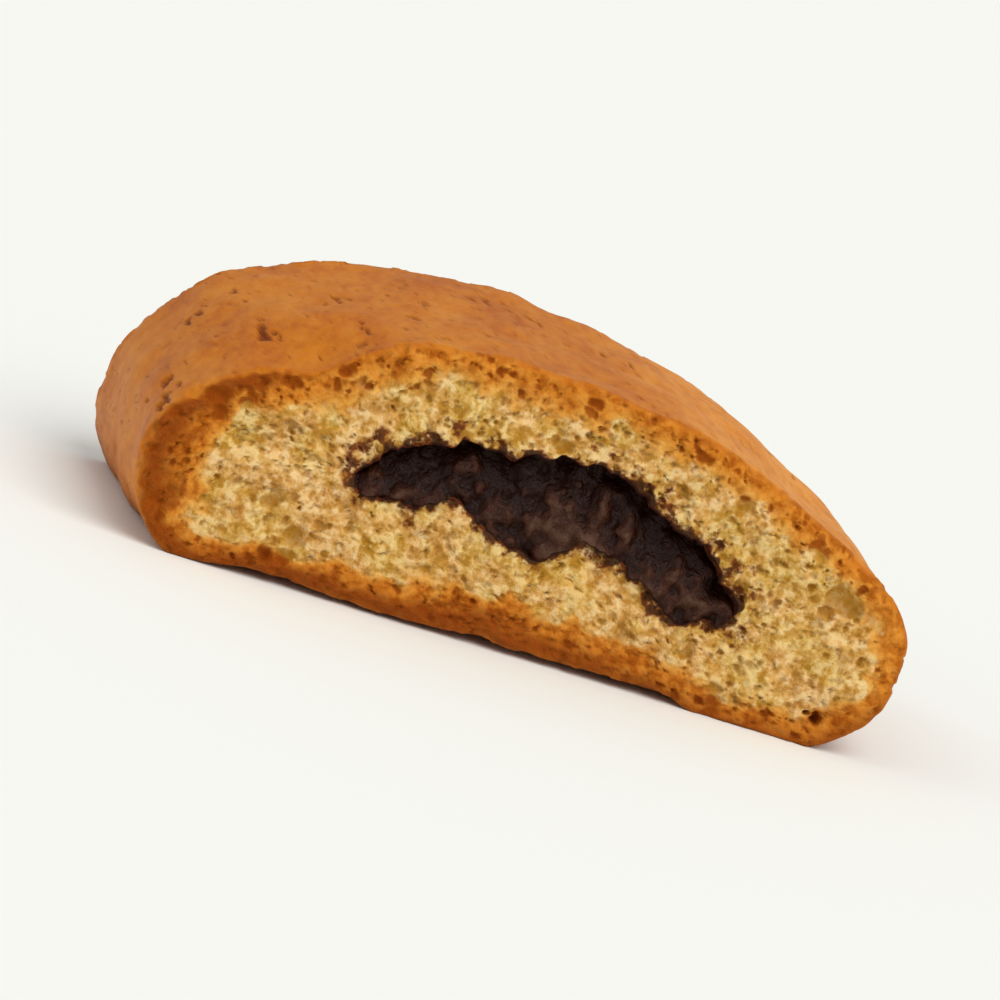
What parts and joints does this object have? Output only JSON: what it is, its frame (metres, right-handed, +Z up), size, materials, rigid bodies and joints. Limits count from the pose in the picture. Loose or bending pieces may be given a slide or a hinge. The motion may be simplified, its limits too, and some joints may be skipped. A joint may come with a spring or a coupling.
{
  "type": "filled biscotti slice",
  "caption": "Domed slice of soft baked biscuit with browned crust, slightly arched underside, two cut crumb faces and a ribbon of dark berry filling running through.",
  "frame": {"origin": "on the plane that the slice lies on, below its middle", "axes": "+X along the slice towards its long sloping end, +Y from the front cut to the back cut, +Z up"},
  "size_m": [0.0769, 0.0312, 0.0273],
  "materials": {
    "dough": "matte baked crust, golden brown, with pale yellow crumb at the two cuts",
    "filling": "sticky dark purple berry paste, half gloss"
  },
  "bodies": {
    "root": {"dough": "dough", "filling": "filling"}
  },
  "joints": []
}
